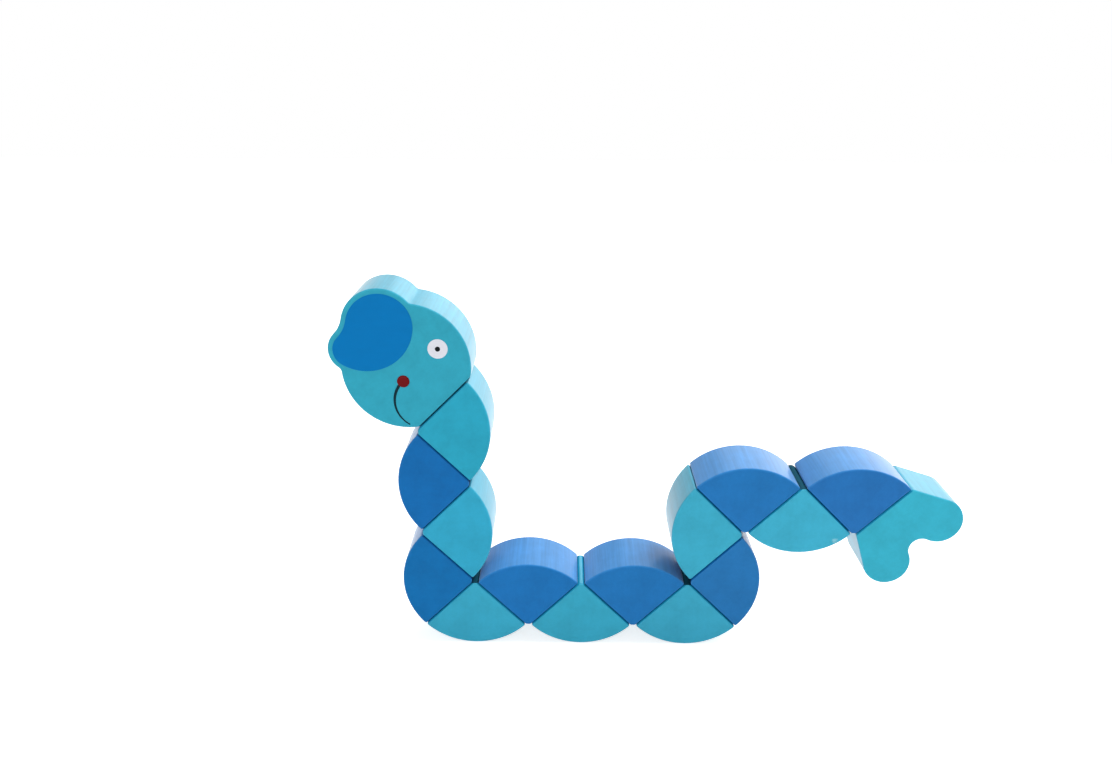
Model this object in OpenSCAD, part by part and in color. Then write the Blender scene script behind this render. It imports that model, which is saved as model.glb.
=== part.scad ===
// Wooden worm toy: a head, fourteen quarter-round blocks and a forked tail on one elastic cord.
// Each block has two flat faces at a right angle and a curved back. The cord enters a block square
// to the middle of one flat face, turns the corner inside and leaves square to the other, so any
// two neighbours can be turned against each other about the cord. The worm stands bent here, with
// four of its joints turned half round from the straight zigzag.
// X runs along the worm, Y through its thickness and Z up. The origin is under the middle of the
// standing worm, on the surface that it stands on.

/* [Wood] */
// Thickness of every wooden piece
wood_t = 20; // [16:0.5:24]
// Width of the bevel that eases every outer edge
edge_ease = 0.7; // [0.3:0.1:1]
// How far a hollow or a straight side dips below the rounds that it runs into
blend_dip = 0.05; // [0.02:0.01:0.1]
// Play between two flat faces that seat on each other
seat_play = 0.02; // [0.01:0.01:0.1]

/* [Blocks] */
// Radius of the curved back
block_r = 24; // [20:0.5:30]
// Length cut off the point of a block, along each flat face
tip_cut = 1.2; // [0.8:0.1:2.5]

/* [Cord] */
// Diameter of the elastic cord
cord_d = 2.5; // [2:0.1:3]
// Diameter of the bore through each block
bore_d = 4.5; // [4:0.1:5.5]
// Clearance of the cord at the inner corner of a bore
corner_clearance = 0.3; // [0.2:0.05:0.4]

/* [Cord ends] */
// Diameter of the blind bore in head and tail that holds a knot
anchor_bore_d = 7.5; // [7:0.1:9]
// Depth of that blind bore
anchor_depth = 11; // [10.8:0.1:12]
// Length of the collar glued in front of the knot
collar_len = 4; // [3:0.1:4.2]
// Distance of the collar below the flat face
collar_recess = 0.3; // [0.2:0.05:0.6]
// Glue gap round the collar
glue_gap = 0.1; // [0.05:0.05:0.2]
// Clearance of the cord in the collar
collar_clearance = 0.3; // [0.2:0.05:0.5]
// Diameter of the knot
knot_d = 6; // [5:0.1:6.4]
// Depth of the flat that the knot's pull presses against the collar
knot_flat = 1; // [0.6:0.1:1.4]
// Length of loose cord end behind the knot
cord_end_len = 1; // [0.5:0.1:1.2]

/* [Head] */
// Radius of the round face
head_r = 20.2; // [19:0.1:21.4]
// Height of the middle of the face above the neck joint
head_rise = 16.6; // [15:0.1:18]
// Distance of the middle of the face from the cord, towards the eye
head_lean = 1.5; // [0:0.1:2.5]
// Radius of the crown of the cap
cap_r = 11.9; // [11:0.1:13]
// Height of the crown's middle above the middle of the face
cap_rise = 14.5; // [13.4:0.1:15.4]
// Distance of the crown's middle from the middle of the face, towards the eye
cap_lean = 3.7; // [2:0.1:5]
// Radius of the cap's peak
peak_r = 7.1; // [6.4:0.1:7.6]
// Distance of the peak's middle from the crown's middle, towards the nose
peak_reach = 11.8; // [11:0.1:12.6]
// Height of the peak's middle above the crown's middle
peak_rise = 1.2; // [0.6:0.1:2.4]
// Radius of the hollow between crown and peak
peak_hollow_r = 9; // [6:0.5:12]
// Radius of the creases where the cap meets the face
crease_r = 2; // [1:0.5:4]

/* [Face paint] */
// Thickness of each coat of paint
coat_t = 0.12; // [0.08:0.02:0.2]
// Bare margin round the painted cap
cap_margin = 1.6; // [1:0.1:2]
// Radius of the painted cap's lower edge
brow_r = 14.8; // [14:0.2:20]
// Place of the eye from the middle of the face
eye_at = [11.3, -2.9]; // [-16:0.1:16]
// Diameter of the white of the eye
eye_d = 6.2; // [5:0.1:7]
// Diameter of the pupil
pupil_d = 1.6; // [1.2:0.1:2.4]
// Place of the nose from the middle of the face
nose_at = [-4, -2.6]; // [-16:0.1:16]
// Diameter of the nose
nose_d = 3.9; // [3:0.1:5]
// Place of the middle of the mouth's arc from the middle of the face
mouth_at = [-4.4, -11.5]; // [-16:0.1:16]
// Radius of the mouth's arc
mouth_r = 9; // [8:0.1:9.4]
// Width of the mouth line
mouth_w = 0.8; // [0.6:0.1:1.2]
// Angle about the arc's middle at which the mouth line ends, by the chin
mouth_end = 195; // [160:1:196]
// Gap between the nose and the mouth line
mouth_gap = 0.1; // [0.05:0.05:0.4]

/* [Tail] */
// Width of the flat face that seats on the last block
tail_foot_w = 23.4; // [22:0.2:24.4]
// Radius of the two rounded ends
lobe_r = 7.7; // [7:0.1:8.5]
// Distance of each rounded end from the cord, sideways
lobe_spread = 10.9; // [10.4:0.1:11.4]
// Height of the rounded ends above the last joint
lobe_rise = 15.2; // [14.8:0.1:17]
// Radius at the bottom of the fork
fork_r = 4; // [3.6:0.1:4.6]

/* [Hidden] */
$fn = 96;
BLOCKS = 14;
// Joints, counted from the neck, that are turned half round from the straight zigzag
BENDS = [0, 4, 9, 11];
QUARTER = 90;
// Extra length with which a cutter passes the surface that it cuts
CUT = 1;

LIGHT_BLUE = "#3aa6c4";
MID_BLUE = "#1f6fb5";
CAP_BLUE = "#0073b5";
EYE_WHITE = "#eef4f6";
NOSE_RED = "#7a0f15";
LINE_BLACK = "#101418";
CORD_WHITE = "#e9e6dd";
BARE_BEECH = "#d9b98c";

function block_name(k) = str(k % 2 == 1 ? "light_block_" : "mid_block_", ceil(k / 2));
function cord_name(k) = str("cord_in_", block_name(k));

// Every bore meets its flat face in the middle, and so the cord is the axis of each joint
face_mid = (block_r + tip_cut) / 2;
// The cord's bend keeps its clearance from the inner corner of the two bores
bend_r = (sqrt(2) * bore_d / 2 - cord_d / 2 - corner_clearance) / (sqrt(2) - 1);
knot_seat = collar_recess + collar_len;

// A place is [x, z, angle of the block's middle line, side on which its tailward face lies]
function along(a) = [cos(a), sin(a)];
function is_bent(j) = len([for (b = BENDS) if (b == j) b]) > 0;
function tailward(p) = p[2] + p[3] * QUARTER / 2;
function headward(p) = p[2] - p[3] * QUARTER / 2;
function spot(p) = [p[0], p[1]];
// The way out of the flat face that looks to the tail, or to the head
function out_tailward(p) = tailward(p) + QUARTER * p[3];
function out_headward(p) = headward(p) - QUARTER * p[3];
// The next block's point lies against this block's point where the joint is turned, and otherwise
// at the far end of the shared face
function next_place(p, bent) =
    let (
        step = bent ? 0 : block_r + tip_cut,
        q = spot(p) + step * along(tailward(p)) + seat_play * along(out_tailward(p))
    )
    bent ? [q[0], q[1], p[2] + QUARTER * p[3], p[3]] : [q[0], q[1], p[2] + 180, -p[3]];
function loose_place(k) = k == 1 ? [0, 0, 0, -1] : next_place(loose_place(k - 1), is_bent(k - 1));

// The neck and the tail joint: middle of the face that seats there and the way that it lies in
function neck(first) = [
    spot(first) + face_mid * along(headward(first)) + seat_play * along(out_headward(first)),
    out_headward(first)
];
function rump(last) = [
    spot(last) + face_mid * along(tailward(last)) + seat_play * along(out_tailward(last)),
    out_tailward(last)
];
head_flip = is_bent(0) ? 1 : -1;
function beyond(joint, p) =
    joint[0] + p[0] * along(joint[1] - QUARTER) + p[1] * along(joint[1]);

face_c = [head_lean, head_rise];
crown_c = face_c + [cap_lean, cap_rise];
peak_c = crown_c + [-peak_reach, peak_rise];
lobe_c = [lobe_spread, lobe_rise];

// Where the worm reaches in a direction: round forms by centre and radius, blocks as sectors
function turn_between(a, b) = abs(((a - b) % 360 + 540) % 360 - 180);
function block_reach(p, a) = spot(p) * along(a)
    + max(0, block_r * cos(max(0, turn_between(p[2], a) - QUARTER / 2)));
function round_reach(c, r, a) = c * along(a) + r;
function head_spot(p) = beyond(neck(loose_place(1)), [head_flip * p[0], p[1]]);
function tail_spot(p) = beyond(rump(loose_place(BLOCKS)), p);
function worm_reach(a) = max(concat(
    [for (k = [1 : BLOCKS]) block_reach(loose_place(k), a)],
    [round_reach(head_spot(face_c), head_r, a), round_reach(head_spot(crown_c), cap_r, a)],
    [round_reach(head_spot(peak_c), peak_r, a)],
    [for (s = [-1, 1]) round_reach(tail_spot([s * lobe_c[0], lobe_c[1]]), lobe_r, a)]
));
origin_x = (worm_reach(0) - worm_reach(180)) / 2;
origin_z = -worm_reach(270);
function place(k) = let (p = loose_place(k)) [p[0] - origin_x, p[1] - origin_z, p[2], p[3]];

// Centre of the hollow of radius r that blends two rounds, on the left going from a to b
function hollow_centre(a, ra, b, rb, r) =
    let (
        d = norm(b - a), u = (b - a) / d,
        x = (pow(ra + r, 2) - pow(rb + r, 2) + d * d) / (2 * d)
    )
    a + x * u + sqrt(pow(ra + r, 2) - x * x) * [-u[1], u[0]];

// Turns a shape drawn in X and Y into one that stands in X and Z
module upright() { rotate([90, 0, 0]) children(); }

module plate(points) { upright() linear_extrude(wood_t, center = true) polygon(points); }

// A round of wood about Y with both rims bevelled
module eased_round(c, r) {
    translate([c[0], 0, c[1]]) upright() rotate_extrude() polygon([
        [0, -wood_t / 2], [r - edge_ease, -wood_t / 2], [r, edge_ease - wood_t / 2],
        [r, wood_t / 2 - edge_ease], [r - edge_ease, wood_t / 2], [0, wood_t / 2]
    ]);
}

// The cutter of a hollow about Y, which bevels the rims that it leaves
module flared_cutter(c, r) {
    wide = r + edge_ease + CUT;
    translate([c[0], 0, c[1]]) upright() rotate_extrude() polygon([
        [0, -wood_t / 2 - CUT], [wide, -wood_t / 2 - CUT], [r, edge_ease - wood_t / 2],
        [r, wood_t / 2 - edge_ease], [wide, wood_t / 2 + CUT], [0, wood_t / 2 + CUT]
    ]);
}

// Wood that fills the corner between two rounds up to a hollow of radius r
module blend(a, ra, b, rb, r) {
    c = hollow_centre(a, ra, b, rb, r);
    difference() {
        plate([a, b, c]);
        flared_cutter(c, r + blend_dip);
    }
}

// The cutter that bevels the two long edges of a straight side, with the wood on the left of a to b
module side_bevel(a, b, ease = edge_ease) {
    inner = wood_t / 2 - ease - CUT;
    outer = wood_t / 2 + CUT;
    translate([a[0], 0, a[1]])
        rotate([0, -atan2(b[1] - a[1], b[0] - a[0]), 0])
            translate([-CUT, 0, 0]) rotate([90, 0, 90]) linear_extrude(norm(b - a) + 2 * CUT)
                for (s = [-1, 1])
                    polygon([[s * inner, -CUT], [s * outer, -CUT], [s * outer, ease + CUT]]);
}

// Square bar that bevels the edge through c that runs along Y
module cross_bevel(c) {
    translate([c[0], 0, c[1]]) rotate([0, 45, 0])
        cube([edge_ease * sqrt(2), wood_t + 2 * CUT, edge_ease * sqrt(2)], center = true);
}

// A block stands in the corner of X and Z, with its flat faces on them. The two bores meet in a
// round end, so that the cord can be pushed round the corner
module bent_bore() {
    translate([face_mid, 0, -CUT]) cylinder(h = face_mid + CUT, d = bore_d);
    translate([-CUT, 0, face_mid]) rotate([0, 90, 0]) cylinder(h = face_mid + CUT, d = bore_d);
    translate([face_mid, 0, face_mid]) sphere(d = bore_d);
}

module block_wood() {
    point = [tip_cut, 0];
    heel = [block_r, 0];
    difference() {
        intersection() {
            eased_round([0, 0], block_r);
            plate([point, [2 * block_r, 0], [2 * block_r, 2 * block_r],
                   [0, 2 * block_r], [0, tip_cut]]);
        }
        side_bevel(point, heel);
        side_bevel([0, heel[0]], [0, point[0]]);
        side_bevel([0, point[0]], point, edge_ease + blend_dip);
        cross_bevel(heel);
        cross_bevel([0, heel[0]]);
        bent_bore();
    }
}

module block_cord() {
    straight = face_mid - bend_r;
    translate([face_mid, 0, 0]) cylinder(h = straight, d = cord_d);
    translate([0, 0, face_mid]) rotate([0, 90, 0]) cylinder(h = straight, d = cord_d);
    translate([straight, 0, straight]) upright()
        rotate_extrude(angle = QUARTER) translate([bend_r, 0]) circle(d = cord_d);
}

module at_block(k) {
    p = place(k);
    translate([p[0], 0, p[1]]) rotate([0, QUARTER / 2 - p[2], 0]) children();
}

module block(k) { color(k % 2 == 1 ? LIGHT_BLUE : MID_BLUE) at_block(k) block_wood(); }

module cord_in_block(k) { color(CORD_WHITE) at_block(k) block_cord(); }

// The head and the tail are drawn with the joint's flat face on X and the cord on Z
module beyond_joint(joint) {
    translate([joint[0][0], 0, joint[0][1]]) rotate([0, QUARTER - joint[1], 0]) children();
}
module at_head() { beyond_joint(neck(place(1))) rotate([0, 0, head_flip > 0 ? 0 : 180]) children(); }
module at_tail() { beyond_joint(rump(place(BLOCKS))) children(); }

module anchor_bore() { translate([0, 0, -CUT]) cylinder(h = anchor_depth + CUT, d = anchor_bore_d); }

module head_wood() {
    half_chord = sqrt(head_r * head_r - head_rise * head_rise);
    chin = [head_lean - half_chord, 0];
    nape = [head_lean + half_chord, 0];
    difference() {
        union() {
            eased_round(face_c, head_r);
            eased_round(crown_c, cap_r);
            eased_round(peak_c, peak_r);
            blend(face_c, head_r, peak_c, peak_r, crease_r);
            blend(peak_c, peak_r, crown_c, cap_r, peak_hollow_r);
            blend(crown_c, cap_r, face_c, head_r, crease_r);
        }
        translate([0, 0, -head_r]) cube([4 * head_r, 2 * wood_t, 2 * head_r], center = true);
        side_bevel(chin, nape);
        anchor_bore();
    }
}

module tail_wood() {
    // The sides run straight from the flat face into the rounded ends
    foot = tail_foot_w / 2;
    dipped = lobe_r - blend_dip;
    reach = norm(lobe_c - [foot, 0]);
    lean = atan2(lobe_rise, lobe_spread - foot) - asin(dipped / reach);
    flank = [foot, 0] + sqrt(reach * reach - dipped * dipped) * along(lean);
    far_lobe = [-lobe_c[0], lobe_c[1]];
    fork_c = hollow_centre(far_lobe, lobe_r, lobe_c, lobe_r, fork_r);
    difference() {
        union() {
            difference() {
                plate([[-foot, 0], [foot, 0], flank, lobe_c, fork_c, far_lobe,
                       [-flank[0], flank[1]]]);
                side_bevel([-foot, 0], [foot, 0]);
                side_bevel([foot, 0], flank, edge_ease + blend_dip);
                side_bevel([-flank[0], flank[1]], [-foot, 0], edge_ease + blend_dip);
                flared_cutter(fork_c, fork_r + blend_dip);
            }
            eased_round(lobe_c, lobe_r);
            eased_round(far_lobe, lobe_r);
        }
        anchor_bore();
    }
}

// The collar and the knotted cord end are the same in head and tail
module collar() {
    translate([0, 0, collar_recess]) difference() {
        cylinder(h = collar_len, d = anchor_bore_d - 2 * glue_gap);
        translate([0, 0, -CUT]) cylinder(h = collar_len + 2 * CUT, d = cord_d + 2 * collar_clearance);
    }
}

module knotted_end() {
    knot_mid = knot_seat + knot_d / 2 - knot_flat;
    cylinder(h = knot_mid, d = cord_d);
    difference() {
        translate([0, 0, knot_mid]) sphere(d = knot_d);
        translate([0, 0, knot_seat - knot_d / 2]) cube(knot_d, center = true);
    }
    translate([0, 0, knot_mid]) cylinder(h = knot_d / 2 + cord_end_len, d = cord_d);
}

// Paint lies on both sides of the head, a coat's thickness above what is under it
module coat(under) {
    for (s = [-1, 1])
        translate([0, s * (wood_t / 2 + (under + 0.5) * coat_t), 0])
            upright() linear_extrude(coat_t, center = true) children();
}

module flat_round(c, r) { translate(c) circle(r); }

// The painted cap keeps its margin from the crown and the peak, with a hollow above them where
// they meet and one wide arc below
module cap_outline() {
    crown = cap_r - cap_margin;
    peak = peak_r - cap_margin;
    hollow = peak_hollow_r + cap_margin;
    above = hollow_centre(peak_c, peak, crown_c, crown, hollow);
    // A round that holds both others inside it touches them like a hollow of negative radius
    brow = hollow_centre(peak_c, peak, crown_c, crown, -brow_r);
    flat_round(crown_c, crown);
    flat_round(peak_c, peak);
    difference() {
        polygon([peak_c, crown_c, above]);
        flat_round(above, hollow + blend_dip);
    }
    intersection() {
        flat_round(brow, brow_r - blend_dip);
        polygon([brow, beyond_round(brow, peak_c), beyond_round(brow, crown_c)]);
    }
}

// A point far out on the line from a through b
function beyond_round(a, b) = a + 2 * brow_r * (b - a) / norm(b - a);

// The mouth is the part of a ring from the nose to the angle at which it ends
module mouth_outline() {
    c = face_c + mouth_at;
    far = 2 * mouth_r;
    to_nose = nose_at - mouth_at;
    start = atan2(to_nose[1], to_nose[0]);
    middle = (start + mouth_end) / 2;
    difference() {
        intersection() {
            difference() {
                flat_round(c, mouth_r + mouth_w / 2);
                flat_round(c, mouth_r - mouth_w / 2);
            }
            polygon([c, c + far * along(start), c + far * along(middle), c + far * along(mouth_end)]);
        }
        flat_round(face_c + nose_at, nose_d / 2 + mouth_gap);
    }
}

module head() { color(LIGHT_BLUE) at_head() head_wood(); }
module tail() { color(LIGHT_BLUE) at_tail() tail_wood(); }
module cord_in_head() { color(CORD_WHITE) at_head() knotted_end(); }
module cord_in_tail() { color(CORD_WHITE) at_tail() knotted_end(); }
module head_collar() { color(BARE_BEECH) at_head() collar(); }
module tail_collar() { color(BARE_BEECH) at_tail() collar(); }
module cap_paint() { color(CAP_BLUE) at_head() coat(0) cap_outline(); }
module eye_paint() { color(EYE_WHITE) at_head() coat(0) flat_round(face_c + eye_at, eye_d / 2); }
module pupil_paint() { color(LINE_BLACK) at_head() coat(1) flat_round(face_c + eye_at, pupil_d / 2); }
module nose_paint() { color(NOSE_RED) at_head() coat(0) flat_round(face_c + nose_at, nose_d / 2); }
module mouth_paint() { color(LINE_BLACK) at_head() coat(0) mouth_outline(); }

head();
for (k = [1 : BLOCKS]) {
    block(k);
    cord_in_block(k);
}
tail();
cord_in_head();
cord_in_tail();
head_collar();
tail_collar();
cap_paint();
eye_paint();
pupil_paint();
nose_paint();
mouth_paint();
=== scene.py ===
"""Looks of the wooden worm toy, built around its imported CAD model.

The worm is a head, fourteen quarter-round blocks and a forked tail of stained wood, strung on
one elastic cord. Every wooden piece is drawn here with compass and rule, as it would be marked
out on a board, then sawn, eased and bored, and it takes the place of its CAD node.
Its sizes are in millimetres until they reach Blender, and places are those of the CAD model.
"""

import logging
import math
from collections.abc import Iterator
from contextlib import contextmanager
from dataclasses import dataclass, field
from enum import Enum
from functools import cache, partial

import bpy
from bpy.types import Material, MeshPolygon, Node, NodeSocket, NodeTree, Object
from mathutils import Matrix, Vector


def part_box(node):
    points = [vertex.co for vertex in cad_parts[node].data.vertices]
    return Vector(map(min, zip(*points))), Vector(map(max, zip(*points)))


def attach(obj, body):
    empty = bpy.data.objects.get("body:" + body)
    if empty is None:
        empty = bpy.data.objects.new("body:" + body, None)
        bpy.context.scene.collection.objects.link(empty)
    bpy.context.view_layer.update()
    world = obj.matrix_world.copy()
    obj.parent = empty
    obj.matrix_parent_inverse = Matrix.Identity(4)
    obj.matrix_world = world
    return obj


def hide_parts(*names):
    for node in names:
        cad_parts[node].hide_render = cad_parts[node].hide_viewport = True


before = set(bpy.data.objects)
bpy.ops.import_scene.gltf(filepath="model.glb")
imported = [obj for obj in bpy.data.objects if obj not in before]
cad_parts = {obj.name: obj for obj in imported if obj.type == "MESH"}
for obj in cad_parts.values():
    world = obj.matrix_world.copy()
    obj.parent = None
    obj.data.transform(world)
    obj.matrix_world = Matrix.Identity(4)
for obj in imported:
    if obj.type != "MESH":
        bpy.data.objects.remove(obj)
LOG = logging.getLogger("worm")
MM = 0.001

Flat = tuple[float, float]
Triple = tuple[float, float, float]
Colour = tuple[float, float, float, float]
Joint = tuple[Flat, float]

# All the wood comes from one board, and sandpaper rounds all its edges by the same width
BOARD = 20.0
ROUNDING = 0.6

# A block is a quarter of a round, in degrees
QUARTER = 90.0

ZERO: Triple = (0.0, 0.0, 0.0)
UP = Vector((0, 0, 1))
DOWN = Vector((0, 0, -1))
LEFT = Vector((-1, 0, 0))


class Side(Enum):
    """Way in which an arc is drawn, seen with X to the right and Z up."""

    OVER_LEFT = 1
    OVER_RIGHT = -1


class Stain(Enum):
    """The two stains of the worm, each by the record's material slot."""

    LIGHT = "light_blue_wood"
    MID = "mid_blue_wood"


class Coat(Enum):
    """What a wooden face carries, by the place of its material on the piece.

    A bare face has stain but no varnish, and its colour is darkened as painted shade in the joints.
    A painted-shade face is bare too and darkened further, as painted shade deep in the gaps.
    """

    VARNISHED = 0
    BARE = 1
    PAINTED_SHADE = 2


def plus(a: Flat, b: Flat, times: float = 1.0) -> Flat:
    """Returns the point a moved by b, times a factor."""
    return a[0] + b[0] * times, a[1] + b[1] * times


def along(degrees: float) -> Flat:
    """Returns the unit step in a direction, counted from X towards Z."""
    return math.cos(math.radians(degrees)), math.sin(math.radians(degrees))


def angle_of(a: Flat, b: Flat) -> float:
    """Returns the direction from a to b in degrees, counted from X towards Z."""
    return math.degrees(math.atan2(b[1] - a[1], b[0] - a[0]))


def hollow_centre(a: Flat, ra: float, b: Flat, rb: float, r: float) -> Flat:
    """Finds the middle of the hollow that blends two rounds, on the left going from a to b.

    Args:
        a: Middle of the first round.
        ra: Radius of the first round.
        b: Middle of the second round.
        rb: Radius of the second round.
        r: Radius of the hollow, negative for a round that holds both others.

    Returns:
        The middle of the hollow.
    """
    d = math.dist(a, b)
    step = ((b[0] - a[0]) / d, (b[1] - a[1]) / d)
    x = ((ra + r) ** 2 - (rb + r) ** 2 + d * d) / (2 * d)
    off = math.sqrt((ra + r) ** 2 - x * x)
    return plus(plus(a, step, x), (-step[1], step[0]), off)


def touch(centre: Flat, r: float, other: Flat) -> Flat:
    """Returns where a round meets the hollow whose middle is given."""
    return plus(centre, along(angle_of(centre, other)), r)


def linear(hex_colour: str, shade: float = 1.0) -> Colour:
    """Turns an sRGB hex colour into linear light, by the formula of that standard.

    Args:
        hex_colour: Colour such as "#3aa6c4".
        shade: Factor on the linear light.

    Returns:
        Red, green, blue and an alpha of 1.
    """
    parts = [int(hex_colour[i : i + 2], 16) / 255 for i in (1, 3, 5)]
    light = [c / 12.92 if c <= 0.04045 else ((c + 0.055) / 1.055) ** 2.4 for c in parts]
    red, green, blue = [min(1.0, c * shade) for c in light]
    return red, green, blue, 1.0


def deselect() -> None:
    """Leaves edit mode and selects nothing, because an operator acts on all that is selected."""
    if bpy.context.object and bpy.context.object.mode != "OBJECT":
        bpy.ops.object.mode_set(mode="OBJECT")
    bpy.ops.object.select_all(action="DESELECT")


def pick(piece: Object) -> None:
    """Makes one piece the only selected and the active one.

    Args:
        piece: The piece.
    """
    deselect()
    piece.select_set(True)
    bpy.context.view_layer.objects.active = piece


@contextmanager
def editing(piece: Object) -> Iterator[None]:
    """Opens a piece in edit mode with all of it selected, and closes it again.

    Args:
        piece: The piece.

    Yields:
        Nothing, while the piece is open.
    """
    pick(piece)
    bpy.ops.object.mode_set(mode="EDIT")
    bpy.ops.mesh.select_all(action="SELECT")
    yield
    bpy.ops.object.mode_set(mode="OBJECT")


def apply_modifiers(piece: Object) -> None:
    """Applies every modifier of a piece in order.

    Args:
        piece: The piece.
    """
    pick(piece)
    for modifier in list(piece.modifiers):
        bpy.ops.object.modifier_apply(modifier=modifier.name)


class Marking:
    """An outline in the plane of X and Z, drawn from point to point with rule and compass.

    Attributes:
        fewest_runs: Straight runs that the shortest arc has.
        open_gap: Distance in millimetres from which the outline's ends are joined by a line.
        speck: Distance below which two points are one.
    """

    fewest_runs = 3
    open_gap = 0.01
    speck = 0.005

    def __init__(self, name: str, start: Flat, y: float) -> None:
        """Puts the pencil down.

        Args:
            name: Name of the piece that the outline becomes.
            start: First point, in X and Z.
            y: Depth of the plane that is drawn on.
        """
        deselect()
        bpy.ops.mesh.primitive_plane_add(size=MM, location=(start[0] * MM, y * MM, start[1] * MM))
        self.piece = bpy.context.object
        self.piece.name = self.piece.data.name = name
        bpy.ops.object.transform_apply(location=True, rotation=True, scale=True)
        bpy.ops.object.mode_set(mode="EDIT")
        bpy.ops.mesh.select_all(action="SELECT")
        bpy.ops.mesh.merge(type="CENTER")
        self.y = y
        self.start = self.pen = start

    def line(self, to: Flat) -> "Marking":
        """Draws a straight run to a point.

        Args:
            to: The point.

        Returns:
            The marking itself.
        """
        step = ((to[0] - self.pen[0]) * MM, 0, (to[1] - self.pen[1]) * MM)
        bpy.ops.mesh.extrude_region_move(TRANSFORM_OT_translate={"value": step})
        self.pen = to
        return self

    def arc(
        self, centre: Flat, to: Flat, side: Side = Side.OVER_LEFT, finest: float = 2.5,
    ) -> "Marking":
        """Draws an arc to a point.

        Args:
            centre: Where the compass stands.
            to: Point at which the arc ends, as far from the centre as the pencil is.
            side: Way round.
            finest: Degrees that one straight run of the arc may span.

        Returns:
            The marking itself.
        """
        turn = (angle_of(centre, to) - angle_of(centre, self.pen)) * side.value % 360
        bpy.ops.mesh.spin(
            steps=max(self.fewest_runs, math.ceil(turn / finest)),
            angle=math.radians(turn) * side.value,
            center=(centre[0] * MM, self.y * MM, centre[1] * MM), axis=(0, 1, 0),
        )
        self.pen = to
        return self

    def sawn(self, thickness: float) -> Object:
        """Closes the outline and saws the piece out of a board.

        Args:
            thickness: Thickness of the board behind the plane of the drawing.

        Returns:
            The finished solid.
        """
        if math.dist(self.pen, self.start) > self.open_gap:
            self.line(self.start)
        bpy.ops.mesh.select_all(action="SELECT")
        bpy.ops.mesh.remove_doubles(threshold=self.speck * MM)
        bpy.ops.mesh.edge_face_add()
        bpy.ops.mesh.extrude_region_move(TRANSFORM_OT_translate={"value": (0, thickness * MM, 0)})
        bpy.ops.mesh.select_all(action="SELECT")
        bpy.ops.mesh.normals_make_consistent(inside=False)
        bpy.ops.object.mode_set(mode="OBJECT")
        return self.piece


def facing(face: MeshPolygon, way: Vector, within: float) -> bool:
    """Tells whether a face looks one way, give or take some degrees."""
    return face.normal.dot(way) > math.cos(math.radians(within))


def raised(piece: Object, way: Vector, inward: float, rise: float, within: float = 8.0) -> None:
    """Insets the flat faces that look one way and lifts their middle.

    Args:
        piece: The piece.
        way: Direction in which the faces look.
        inward: Width of the sloping rim in millimetres.
        rise: How far the middle is lifted.
        within: How far a face may turn away from that direction, in degrees.
    """
    pick(piece)
    bpy.ops.object.mode_set(mode="EDIT")
    bpy.ops.mesh.select_mode(type="FACE")
    bpy.ops.mesh.select_all(action="DESELECT")
    bpy.ops.object.mode_set(mode="OBJECT")
    for face in piece.data.polygons:
        face.select = facing(face, way, within)
    bpy.ops.object.mode_set(mode="EDIT")
    bpy.ops.mesh.inset(thickness=inward * MM, depth=rise * MM)
    bpy.ops.mesh.select_mode(type="VERT")
    bpy.ops.object.mode_set(mode="OBJECT")


def ease(piece: Object, width: float, segments: int = 3, sharp: float = 30.0) -> None:
    """Rounds every sharp edge of a piece, as a rubbing with sandpaper does.

    Args:
        piece: The piece.
        width: Width of the rounding in millimetres.
        segments: Faces across the rounding.
        sharp: Angle in degrees from which an edge is sharp.
    """
    bevel = piece.modifiers.new("eased", "BEVEL")
    bevel.width = width * MM
    bevel.segments = segments
    bevel.limit_method = "ANGLE"
    bevel.angle_limit = math.radians(sharp)
    apply_modifiers(piece)


def bore(piece: Object, cutters: list[Object]) -> None:
    """Takes the room of some cutters out of a piece and removes the cutters.

    Args:
        piece: The piece.
        cutters: Closed solids.
    """
    for cutter in cutters:
        cut = piece.modifiers.new("bored", "BOOLEAN")
        cut.operation = "DIFFERENCE"
        cut.solver = "EXACT"
        cut.object = cutter
    apply_modifiers(piece)
    for cutter in cutters:
        bpy.data.objects.remove(cutter)


def drill(
    mouth: Vector, end: Vector, diameter: float,
    run_in: float = 1.0, point: Flat = (0.42, 0.2), sides: int = 32,
) -> Object:
    """Makes the room that a drill takes in a piece.

    Args:
        mouth: Middle of the hole in the face that the drill enters, in millimetres.
        end: Where its full width ends.
        diameter: Diameter of the drill.
        run_in: How far in front of that face the room starts.
        point: Width and height of the cone at the drill's end, by its diameter.
        sides: Faces round the room.

    Returns:
        A closed rod with the drill's short cone at its end.
    """
    deselect()
    start = mouth - (end - mouth).normalized() * run_in
    length = (end - start).length
    bpy.ops.mesh.primitive_cylinder_add(vertices=sides, radius=diameter / 2 * MM, depth=length * MM)
    rod = bpy.context.object
    raised(rod, UP, diameter * point[0], diameter * point[1])
    turn = UP.rotation_difference(end - start).to_matrix().to_4x4()
    rod.data.transform(Matrix.Translation((start + end) / 2 * MM) @ turn)
    return rod


def clean(piece: Object, speck: float = 0.002) -> None:
    """Removes faces without a size, which a rounding or a cut leaves behind.

    Args:
        piece: The piece.
        speck: Distance in millimetres below which two points are one.
    """
    with editing(piece):
        bpy.ops.mesh.remove_doubles(threshold=speck * MM)
        bpy.ops.mesh.dissolve_degenerate(threshold=speck * MM)


def shade(piece: Object, sharp: float = 50.0) -> None:
    """Shades flats flat and rounds round.

    Args:
        piece: The piece, which is cleaned first.
        sharp: Angle in degrees from which an edge shows as one.
    """
    clean(piece)
    bpy.ops.object.shade_smooth_by_angle(angle=math.radians(sharp))
    weights = piece.modifiers.new("flats", "WEIGHTED_NORMAL")
    weights.keep_sharp = True
    apply_modifiers(piece)


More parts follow.
